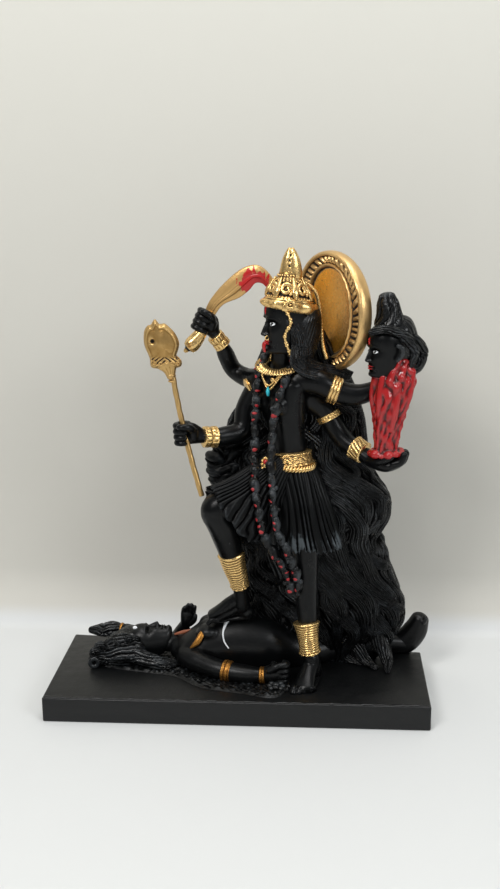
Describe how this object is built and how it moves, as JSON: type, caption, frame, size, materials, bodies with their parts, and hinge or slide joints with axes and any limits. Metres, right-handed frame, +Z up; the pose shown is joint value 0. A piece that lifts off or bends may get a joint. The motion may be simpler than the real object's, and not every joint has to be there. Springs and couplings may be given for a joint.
{
  "type": "kali figure",
  "caption": "Painted resin statue of four-armed Kali standing on a reclining man, with sword, staff, severed head, halo disc and long hair, on a low rectangular base.",
  "frame": {"origin": "middle of the base plate's underside", "axes": "+X to the right along the base plate's straight front edge, +Y to the back, +Z up"},
  "size_m": [0.2042, 0.0816, 0.2411],
  "materials": {
    "black_paint": "satin black paint on cast resin, greyish sheen on the raised parts",
    "gold_paint": "metallic gold paint with dark recesses",
    "red_paint": "glossy red paint",
    "white_paint": "small touches of white paint",
    "turquoise_paint": "one small drop of turquoise paint"
  },
  "bodies": {
    "root": {"kali_figure": "black_paint", "trident_staff": "gold_paint"}
  },
  "joints": []
}
